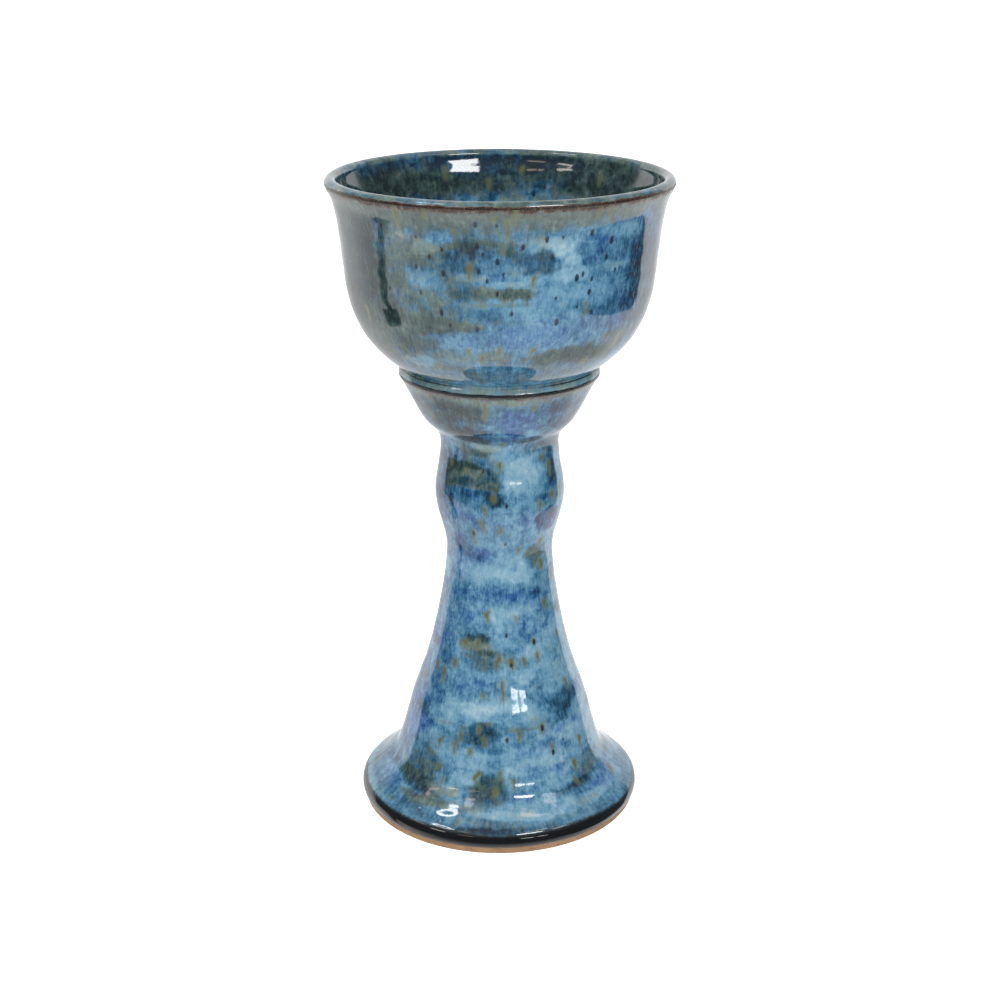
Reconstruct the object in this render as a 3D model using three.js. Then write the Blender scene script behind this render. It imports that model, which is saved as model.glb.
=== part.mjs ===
// Communion chalice in wheel-thrown stoneware, in millimetres with +Z up.
// The origin is the centre of the plane that the foot ring rests on.
//
// A potter throws two clay pieces: a cup, and a hollow pedestal with a flared skirt, a knop and a
// collar. The cup's turned foot is luted onto the collar with slip, and the whole is coated in a
// thick glaze: poured inside the cup and over its lip, and dipped outside down to the bare foot.
import * as THREE from 'three';

// Heights above the resting plane.
const HEIGHT = 180;
const BREAK_Z = 178.25; // where the cup's inner and outer glazes meet, on the outside of the lip
const CUP_FLOOR_Z = 133.6; // lowest point inside the cup
const JOIN_Z = 127; // top of the collar
const NECK_Z = 107; // crease under the collar
const KNOP_Z = 92.5;
const WAIST_Z = 76;
const ROLL_Z = 4; // widest height of the foot's rolled edge
const GLAZE_EDGE_Z = 1.5; // the glaze stops short of the foot

// Radii over the glaze.
const LIP_R = 46.15;
const COLLAR_R = 27.4;
const NECK_R = 16.3;
const KNOP_R = 17.9;
const WAIST_R = 14.8;
const FOOT_R = 40.1;

// Sections.
const LIP_THICKNESS = 2 * (HEIGHT - BREAK_Z); // the lip is a half round
const GLAZE = 0.8;
const STEM_WALL = 4.2;
const FOOT_ROLL_R = 3.3;
const FOOT_FLAT_INNER_R = 33.6;
const FOOT_FLAT_OUTER_R = 38.9;
const FOOT_BEVEL = 0.4;
const SLIP = 0.4; // thickness of the slip between cup and collar
const SLIP_BEAD = 1.2; // height of the bead that the slip makes around the cup's foot
const SLIP_BEAD_WIDTH = 0.8;

const SEGMENTS = 48;
const LIP_STEPS = 4;
const ROLL_STEPS = 3;

const CLAY = { color: 0xb48d64, roughness: 0.85, metalness: 0 };
const SLIP_CLAY = { color: 0xa27c57, roughness: 0.9, metalness: 0 };
const OUTER_GLAZE = { color: 0x5f8aa8, roughness: 0.15, metalness: 0 };
const STEM_GLAZE = { color: 0x6a90b0, roughness: 0.15, metalness: 0 };
const LINER_GLAZE = { color: 0x3d687c, roughness: 0.12, metalness: 0 };

// Outlines are lists of [radius, height] points.

// A smooth line through a few points, with the same number of steps between each two.
function smooth(points, stepsEach) {
  const curve = new THREE.SplineCurve(points.map(([r, z]) => new THREE.Vector2(r, z)));
  return curve.getPoints(stepsEach * (points.length - 1)).map((p) => [p.x, p.y]);
}

// An arc about [r, z], both ends included, with angles in degrees from outwards towards up.
function arc([r, z], radius, from, to, steps) {
  return Array.from({ length: steps + 1 }, (_, i) => {
    const angle = THREE.MathUtils.degToRad(from + ((to - from) * i) / steps);
    return [r + radius * Math.cos(angle), z + radius * Math.sin(angle)];
  });
}

// The outline moved sideways by a distance, to the left of its own direction of travel.
function beside(outline, distance) {
  return outline.map(([r, z], i) => {
    const before = outline[Math.max(i - 1, 0)];
    const after = outline[Math.min(i + 1, outline.length - 1)];
    const along = new THREE.Vector2(after[0] - before[0], after[1] - before[1]).normalize();
    return [r === 0 ? 0 : r - distance * along.y, z + distance * along.x];
  });
}

// The outline with its first or last point brought to a stated height.
function level(outline, index, height) {
  const made = outline.slice();
  const at = (index + made.length) % made.length;
  made[at] = [made[at][0], height];
  return made;
}

function turned(name, outline, finish) {
  const profile = outline.map(([r, z]) => new THREE.Vector2(r, z));
  const geometry = new THREE.LatheGeometry(profile, SEGMENTS);
  geometry.rotateX(Math.PI / 2);
  const mesh = new THREE.Mesh(geometry, new THREE.MeshStandardMaterial(finish));
  mesh.name = name;
  return mesh;
}

function closed(outline) {
  return [...outline, outline[0]];
}

// The pedestal's shape from the skirt to the collar, over the glaze: a concave skirt, a waist, a
// rounded knop and a neck, then a crease from which the collar flares out like an egg cup.
function skirtToNeck(stepsEach) {
  return smooth(
    [
      [34.4, 9.7],
      [28.9, 17],
      [25.9, 27],
      [23.3, 36],
      [19.8, 46.5],
      [16.6, 61.5],
      [WAIST_R, WAIST_Z],
      [16.35, 84.5],
      [KNOP_R, KNOP_Z],
      [17, 100.5],
      [NECK_R, NECK_Z],
    ],
    stepsEach,
  );
}

function collar(stepsEach) {
  return smooth(
    [
      [17, 110.2],
      [20.5, 114.3],
      [24.6, 121.8],
      [COLLAR_R, JOIN_Z],
    ],
    stepsEach,
  );
}

function footRoll() {
  const centre = [FOOT_R - FOOT_ROLL_R, ROLL_Z];
  return [[FOOT_R - 0.15, GLAZE_EDGE_Z], ...arc(centre, FOOT_ROLL_R, 0, 72, ROLL_STEPS)];
}

// The cup's shape over the glaze: a narrow band above the joint, a groove, a round underside and a
// steep wall that flares out at the lip.
function cupOutside(stepsEach) {
  const band = [
    [COLLAR_R, JOIN_Z],
    [26.9, JOIN_Z + SLIP_BEAD],
    [26.3, 129.1],
  ];
  const wall = smooth(
    [
      [28.2, 130],
      [34.5, 136],
      [39.55, 145],
      [41.65, 156.5],
      [42.55, 165],
      [44, 173.3],
      [LIP_R, BREAK_Z],
    ],
    stepsEach,
  );
  return [...band, ...wall];
}

// From the centre of the cup's floor up to the lip and over it.
function cupInside(stepsEach) {
  const wall = smooth(
    [
      [0, CUP_FLOOR_Z],
      [21, 135.2],
      [32.6, 142.4],
      [36.9, 155],
      [39, 168],
      [LIP_R - LIP_THICKNESS, BREAK_Z],
    ],
    stepsEach,
  );
  const lipCentre = [LIP_R - LIP_THICKNESS / 2, BREAK_Z];
  return [...wall, ...arc(lipCentre, LIP_THICKNESS / 2, 180, 0, LIP_STEPS).slice(1)];
}

const stemSurface = [...footRoll(), ...skirtToNeck(2), ...collar(2)];
const stemClay = level(beside(stemSurface, GLAZE), -1, JOIN_Z);
const linerSurface = cupInside(2);
const linerClay = level(beside(linerSurface, -GLAZE), -1, BREAK_Z);
const lipClay = linerClay[linerClay.length - 1];
const cupSurface = cupOutside(2);
const cupClay = [...level(beside(cupSurface, GLAZE), 0, JOIN_Z).slice(0, -1), lipClay];
const hollow = level(beside([...skirtToNeck(1), ...collar(1)], GLAZE + STEM_WALL), -1, JOIN_Z);
const beadTop = cupClay[1];
const cupFootR = beadTop[0] - SLIP_BEAD_WIDTH;
const collarInnerR = hollow[hollow.length - 1][0];

// The clay pedestal, open underneath, with a flat foot ring and a flat top on the collar.
function stem() {
  return turned(
    'stem',
    closed([
      [FOOT_FLAT_INNER_R, 0],
      [FOOT_FLAT_OUTER_R, 0],
      [FOOT_FLAT_OUTER_R + FOOT_BEVEL / 2, FOOT_BEVEL],
      ...stemClay,
      ...hollow.slice().reverse(),
    ]),
    CLAY,
  );
}

// The clay cup, with a solid floor and a rebate around its foot for the slip.
function bowl() {
  return turned(
    'bowl',
    [
      [0, JOIN_Z + SLIP],
      [cupFootR, JOIN_Z + SLIP],
      [cupFootR, beadTop[1]],
      ...cupClay.slice(1),
      ...linerClay.slice(0, -1).reverse(),
    ],
    CLAY,
  );
}

// The luting slip: a thin flat ring between collar and cup, with a bead squeezed out around it.
function slipRing() {
  return turned(
    'slip_ring',
    closed([
      [collarInnerR, JOIN_Z],
      cupClay[0],
      beadTop,
      [cupFootR, beadTop[1]],
      [cupFootR, JOIN_Z + SLIP],
      [collarInnerR, JOIN_Z + SLIP],
    ]),
    SLIP_CLAY,
  );
}

// A coat of glaze lies between the clay and the surface that shows.
function coat(name, surface, clay, finish) {
  return turned(name, closed([...surface, ...clay.slice().reverse()]), finish);
}

// Poured inside: the coat runs from the axis, so its outline ends there and doesn't close.
function linerGlaze() {
  return turned('liner_glaze', [...linerClay, ...linerSurface.slice().reverse()], LINER_GLAZE);
}

const chalice = new THREE.Group();
chalice.add(
  stem(),
  slipRing(),
  bowl(),
  coat('stem_glaze', stemSurface, stemClay, STEM_GLAZE),
  coat('bowl_glaze', cupSurface, cupClay, OUTER_GLAZE),
  linerGlaze(),
);

export default chalice;
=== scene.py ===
"""Communion chalice in wheel-thrown stoneware: its looks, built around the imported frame.

Shapes are worked in millimetres and stored in metres. An outline is a list of (radius, height), and
each coat of glaze and each clay piece is one outline turned about the Z axis, with throwing marks,
grooves and blisters as real relief. What the glaze does over the surface (where it is thin, deep,
olive or periwinkle, where rust has run and iron has spotted) is worked out at the vertices by seeded
noise and by strokes that are placed by angle and height, and the materials turn it into colour.
Angle 0 is the front, at -Y, and positive angles go towards +X.
"""

import math

import bpy
import numpy as np
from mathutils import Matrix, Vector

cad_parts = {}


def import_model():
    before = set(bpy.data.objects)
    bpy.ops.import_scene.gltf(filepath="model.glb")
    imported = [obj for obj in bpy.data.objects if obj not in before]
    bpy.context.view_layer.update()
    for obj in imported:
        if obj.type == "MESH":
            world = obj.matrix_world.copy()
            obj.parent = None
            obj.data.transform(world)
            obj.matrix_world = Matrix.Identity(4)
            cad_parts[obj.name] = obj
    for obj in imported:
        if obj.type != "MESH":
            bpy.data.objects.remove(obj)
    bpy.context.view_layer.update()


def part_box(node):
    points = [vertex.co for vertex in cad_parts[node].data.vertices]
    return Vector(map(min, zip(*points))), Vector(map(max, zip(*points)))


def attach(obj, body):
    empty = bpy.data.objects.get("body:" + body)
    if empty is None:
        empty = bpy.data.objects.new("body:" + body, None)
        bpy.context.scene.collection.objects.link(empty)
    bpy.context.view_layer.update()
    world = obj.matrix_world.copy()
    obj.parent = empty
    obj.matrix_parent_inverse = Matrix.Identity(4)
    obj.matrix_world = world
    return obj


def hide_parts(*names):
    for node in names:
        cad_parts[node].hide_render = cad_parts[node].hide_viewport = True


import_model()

MM = 0.001

# ---------------------------------------------------------------- measures from the frame, in mm


def side(node, axis, end):
    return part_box(node)[end][axis] / MM


HEIGHT = side("liner_glaze", 2, 1)
LIP_R = side("liner_glaze", 0, 1)
BREAK_Z = side("bowl_glaze", 2, 1)
JOIN_Z = side("stem", 2, 1)
COAT_FOOT_Z = side("stem_glaze", 2, 0)
FOOT_R = side("stem_glaze", 0, 1)
CUP_BASE_Z = side("bowl", 2, 0)
FLOOR_COAT = 0.8  # how thick the liner lies on the cup's floor
CUP_FLOOR_Z = side("liner_glaze", 2, 0) + FLOOR_COAT
SLIP_R = side("slip_ring", 0, 1)
SLIP_TOP_Z = side("slip_ring", 2, 1)
SLIP_WIDTH = 6.5
GLAZE = LIP_R - side("bowl", 0, 1)
LIP_HALF = HEIGHT - BREAK_Z
WALL = 4.2  # how thick the pedestal's clay is

# ---------------------------------------------------------------- small maths


def ease(low, high, x):
    t = np.clip((x - low) / (high - low), 0.0, 1.0)
    return t * t * (3.0 - 2.0 * t)


def bump(x, centre, width):
    return np.exp(-(((x - centre) / width) ** 2))


def hashed(cells, seed):
    h = cells[..., 0] * 73856093 ^ cells[..., 1] * 19349663 ^ cells[..., 2] * 83492791
    h = (h ^ (seed * 40503 + 977)) * 1274126177
    h = (h ^ (h >> 15)) * 2246822519
    return ((h ^ (h >> 13)) & 0xFFFF) / 32767.5 - 1.0


def noise(points, seed):
    """Smooth noise from -1 to 1 at (n, 3) points, one feature to a unit."""
    cell = np.floor(points).astype(np.int64)
    t = points - cell
    t = t * t * (3.0 - 2.0 * t)
    total = 0.0
    for corner in np.ndindex(2, 2, 2):
        weight = np.prod(np.where(corner, t, 1.0 - t), axis=-1)
        total = total + weight * hashed(cell + np.array(corner), seed)
    return total


def layered(points, seed, octaves=3):
    total = 0.0
    for i in range(octaves):
        total = total + noise(points * 2.0**i, seed + i) * 0.5**i
    return total


# ---------------------------------------------------------------- outlines


def smooth(points, step):
    """A Catmull-Rom line through the points, with a point about every step millimetres."""
    p = np.array(points, float)
    p = np.vstack([2 * p[0] - p[1], p, 2 * p[-1] - p[-2]])
    made = []
    for i in range(1, len(p) - 2):
        count = max(2, round(np.linalg.norm(p[i + 1] - p[i]) / step))
        t = (np.arange(count) / count)[:, None]
        a = 2 * p[i]
        b = p[i + 1] - p[i - 1]
        c = 2 * p[i - 1] - 5 * p[i] + 4 * p[i + 1] - p[i + 2]
        d = 3 * p[i] - p[i - 1] - 3 * p[i + 1] + p[i + 2]
        made.append(0.5 * (a + b * t + c * t**2 + d * t**3))
    return np.vstack([*made, p[-2]])


def arc(centre, radius, start, end, steps):
    angle = np.radians(np.linspace(start, end, steps + 1))
    return np.column_stack([centre[0] + radius * np.cos(angle), centre[1] + radius * np.sin(angle)])


def beside(outline, distance):
    """The outline moved to the left of its own direction of travel."""
    along = np.gradient(outline, axis=0)
    along /= np.linalg.norm(along, axis=1)[:, None]
    moved = outline + distance * np.column_stack([-along[:, 1], along[:, 0]])
    moved[outline[:, 0] == 0, 0] = 0
    return moved


def travel(outline):
    """How far each point lies along the outline, in mm."""
    return np.concatenate([[0.0], np.cumsum(np.linalg.norm(np.diff(outline, axis=0), axis=1))])


SKIRT = [
    (33.1, 10.8), (30.15, 14), (28.5, 18), (27.05, 23), (25.5, 29), (24.9, 31), (23.95, 34), (23.05, 36.5),
    (22.15, 39), (20.5, 44), (18.45, 52), (16.85, 60), (15.6, 67.5), (14.85, 75.5),
]
KNOP = [(15.25, 80), (16.25, 84), (17.35, 88.2), (17.95, 92.5), (17.6, 97), (16.8, 101.5), (16.35, 106)]
COLLAR = [(16.5, 108.6), (17.35, 110.9), (18.75, 112.4), (20.6, 114.3), (22.4, 117.2), (24, 120.3),
          (25.5, 123.3), (26.8, 125.7), (27.35, 126.5)]
BAND = [(27.4, 127.25), (27.25, 128.1), (26.95, 128.8), (27, 129.6)]
WALL_OUT = [(28, 130.05), (31, 132.4), (34.55, 136), (37.3, 140), (39.55, 145), (41.05, 151), (41.85, 158),
            (42.6, 165), (43.35, 170), (44.4, 174.3), (45.6, 176.9)]
WALL_IN = [(11, 134), (21, 135.3), (28, 138.3), (32.6, 142.5), (35.4, 148), (37.05, 155), (38.3, 162),
           (39.4, 168.5), (40.95, 174), (42.15, 176.8)]


def foot_roll():
    """The glaze's thick lower edge and the rolled rim of the foot above it."""
    edge = COAT_FOOT_Z + 0.75
    lower = smooth([(FOOT_R - 0.85, edge - 0.1), (FOOT_R - 0.35, edge), (FOOT_R - 0.1, edge + 0.5)], 0.25)
    upper = smooth([(FOOT_R, 3.6), (FOOT_R - 0.3, 4.9), (FOOT_R - 1.15, 6.05), (FOOT_R - 2.6, 7.15),
                    (FOOT_R - 4.75, 8.75), SKIRT[0]], 0.5)
    return np.vstack([lower, upper[:-1]])


FINE = smooth([*SKIRT, *KNOP, *COLLAR, (COLLAR[-1][0] + 0.05, JOIN_Z)], 0.25)
STEM_SURFACE = np.vstack([foot_roll(), FINE[(FINE[:, 1] > 123.8) | (np.arange(len(FINE)) % 3 == 0)]])
BOWL_SURFACE = np.vstack([smooth([(COLLAR[-1][0] + 0.05, JOIN_Z), *BAND, WALL_OUT[0]], 0.13)[:-1],
                          smooth([*WALL_OUT, (LIP_R, BREAK_Z)], 0.6)])
LIP = arc((LIP_R - LIP_HALF, BREAK_Z), LIP_HALF, 180, 0, 22)
LINER_SURFACE = np.vstack([smooth([(0, CUP_FLOOR_Z), *WALL_IN, tuple(LIP[0])], 0.7)[:-1], LIP])


# ---------------------------------------------------------------- relief, in mm


def hand_made(x, y, z):
    """The whole pot's slight unevenness: an oval lip, a foot a little off the middle."""
    angle = np.arctan2(x, -y)
    lip = ease(130, 180, z)
    foot = 1 - ease(0, 130, z)
    swell = 1 + 0.0022 * lip * np.cos(2 * angle + 0.7) + 0.003 * foot * np.cos(3 * angle + 0.4)
    x = x * swell - 0.3 * foot - 0.22 * bump(z, 121, 13)
    y = y * swell
    z = z + lip * 0.12 * np.sin(2 * angle + 1.1) * ease(150, 180, z)
    return x, y, z


def throwing(angle, z, pitch, depth, seed):
    """Shallow spiral ridges left by the fingers."""
    turns = z / pitch + angle / 360.0
    wave = np.sin(2 * np.pi * turns) + 0.35 * np.sin(2 * np.pi * (turns * 0.43 + 0.2))
    points = np.column_stack([np.cos(np.radians(angle)) * 1.5, np.sin(np.radians(angle)) * 1.5, z / 9.0])
    return depth * wave * (0.7 + 0.5 * noise(points, seed))


def undulation(ground, seed):
    """The soft waviness of a thick glaze."""
    points = np.column_stack([ground.x, ground.y, ground.height * 0.8])
    return 0.03 * noise(points / 9.0, seed) + 0.004 * noise(points / 3.0, seed + 5)


# ---------------------------------------------------------------- what the glaze does


def strokes(*rows):
    """Rows of (angle, height mm, half width mm, half height mm, depth, hue, strength), the last three in
    per cent, and strength 85 if it's left out. Depth goes from 0, pale and thin, to 1, dark and deep.
    Hue goes from -1, olive, by 0, sky blue, to 1, periwinkle. Later strokes lie over earlier ones."""
    return [(*row[:4], *(value / 100 for value in (*row[4:], 85)[:3])) for row in rows]


# Washes are wide and soft, and lie under the marks.
BOWL_WASHES = strokes(
    (-62, 157, 30, 36, 97, -90, 100), (-22, 158, 14, 20, 56, -35, 80), (14, 153, 20, 18, 50, 20, 75),
    (46, 160, 15, 15, 70, 30), (0, 177, 62, 4.8, 66, -90, 92), (31, 139, 21, 5.2, 84, -70, 90),
    (-30, 144, 22, 9, 70, -80), (7, 145, 18, 5, 60, 50, 75), (0, 133.5, 48, 4.5, 74, -35),
    (-18, 139, 14, 3, 50, -40, 60), (58, 148, 13, 9, 85, 50, 80), (0, 128.2, 60, 1.5, 26, -50, 95),
)
STEM_WASHES = strokes(
    (-40, 119, 19, 9, 100, -50, 97), (13, 118, 11, 6, 66, 35, 90), (0, 125.3, 34, 1.7, 50, -85),
    (48, 119, 11, 8, 100, -10, 95), (-14, 109.3, 15, 3.2, 50, -60, 80), (12, 109, 5, 3, 66, 40),
    (44, 109, 8, 3.4, 80, -50), (-62, 90, 8, 22, 85, 20, 80), (-38, 100, 11, 7, 80, -60, 90),
    (-12, 99, 5, 3.4, 95, -60), (20, 101, 8, 6, 30, 0), (16, 88, 10, 3, 50, 50, 70), (-32, 88, 9, 5, 66, 30, 80),
    (0, 84, 8, 3, 42, -10, 60), (-28, 78, 10, 3.2, 66, 60), (12, 74, 11, 3.6, 22, 0), (0, 66.3, 26, 2.2, 62, 45),
    (12, 61.6, 16, 2.2, 26, 0, 80), (36, 58, 9, 3.4, 56, 30, 80), (-15, 51.5, 9, 4.6, 50, -80),
    (-15, 42.5, 8, 3.4, 60, 60, 80), (16, 45.5, 13, 3.4, 34, -10, 80), (-14, 35.6, 17, 2.8, 16, 0),
    (51, 36, 8, 5, 76, 30, 90), (-4, 28.6, 17, 3.2, 66, -30), (-20, 22, 13, 3, 28, 0, 80),
    (15, 20.5, 15, 4, 34, 20, 80), (-47, 18, 11, 6.5, 54, -65, 90), (-6, 15, 6, 5, 72, -75, 90),
    (-18, 10.6, 26, 1.5, 30, -60, 75), (0, 6.2, 18, 1.4, 80, -50, 90), (-58, 10, 22, 4.5, 66, -75, 90),
    (-78, 40, 12, 30, 70, 50), (76, 40, 12, 30, 34, -10, 70), (50, 12.4, 11, 3.2, 62, -40),
    (26, 9, 13, 2, 30, 10, 70), (-58, 62, 6, 22, 50, 30, 70), (58, 52, 6, 10, 40, -20, 70),
)
BOWL_MARKS = strokes(
    (22, 147.5, 17, 4.6, 50, 55, 75), (40, 147.6, 8, 2.8, 70, 50, 80), (8, 144, 5, 3, 58, 80, 70),
    (-25, 143, 8, 2.5, 62, 30, 60), (-14, 143.5, 4, 2, 50, 70, 60), (10, 155, 8, 3, 45, 50, 60),
    (-4, 139.6, 9, 2, 62, -50, 75), (31, 139.5, 13, 2.6, 78, -80, 90), (50, 143, 8, 2, 70, -70, 80),
    (-22, 148.6, 12, 2, 70, -85, 90), (-2, 150, 7, 1.5, 62, -50, 70), (-34, 166.5, 8, 3, 56, -75, 75),
    (-30, 154, 9, 3, 60, -45, 60), (-38, 143, 8, 3, 75, -60, 60), (-20, 170.6, 3.4, 1.2, 50, 70, 80),
    (-27, 160, 6, 2.5, 42, 10, 60), (8, 152, 7, 2, 30, 20, 60), (14, 159.6, 8, 2, 42, 40, 60),
    (20, 167.6, 5.6, 2, 2, -10, 95), (24, 165, 3, 2, 4, 0), (14, 169.8, 7, 1.2, 20, -40, 70),
    (-6, 169.2, 9, 1.3, 62, -85), (-4, 166.4, 12, 2.4, 74, -30, 90), (-11, 166.4, 5.8, 2.8, 88, -12, 100),
    (-12, 164, 5, 1.8, 80, 10, 95), (-13, 168.6, 3.4, 1, 80, -80), (-0.5, 163.8, 4.2, 3.2, 64, 12, 100),
    (-1, 161, 2.6, 1.3, 62, 35, 80), (1, 167.3, 4, 1, 72, -60), (11.5, 165.4, 6, 2.2, 86, -15, 100),
    (12.8, 163.2, 5, 1.8, 84, 0, 97), (-11, 160.9, 4.4, 0.9, 30, -40, 80), (4, 159.6, 5, 0.7, 25, -30, 70),
    (-3, 156.9, 10.5, 2, 50, -75, 97), (3.5, 157.1, 4.6, 1.4, 74, -80, 95), (-11, 156.6, 4, 1.4, 66, -40, 92),
    (-2, 154.2, 8, 0.7, 40, -70, 70), (35.5, 168.3, 6.6, 3.4, 68, 55, 100), (25, 161.6, 4, 1.8, 12, 0),
    (31, 168, 2.6, 3, 60, 20), (45, 171, 6, 2, 42, 10, 80), (46, 165.5, 4.5, 2.2, 86, 10),
    (46, 154.4, 8.5, 4.2, 72, 30, 92), (36, 157, 4, 3.4, 56, 20, 70), (62, 160, 9, 14, 92, 35, 90),
    (41, 162.2, 6.5, 1.6, 34, -30, 90), (-45, 171.5, 3.4, 3.2, 86, -30), (-45, 166, 2.4, 3.4, 72, 0, 70),
    (-44.5, 158, 2, 6, 86, -75, 90), (-43, 150, 4, 2.6, 98, -60, 100), (-34, 170.3, 4, 1.6, 36, -85),
    (-25, 168, 4, 2, 28, -75, 80), (45, 165, 4, 2, 66, 15, 80), (35, 155.4, 4, 3, 42, 10, 80),
    (-20, 171, 3, 1.2, 60, 40), (-30, 143, 5, 2, 70, -60, 80), (-60, 160, 9, 12, 100, -50, 90),
    (66, 158, 8, 16, 95, -20, 90), (7, 171.5, 5, 1.2, 50, -30, 70), (-2, 140.5, 6, 1.6, 60, -60, 60),
    (-35, 137, 6, 2, 36, -10, 80),
)
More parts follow.
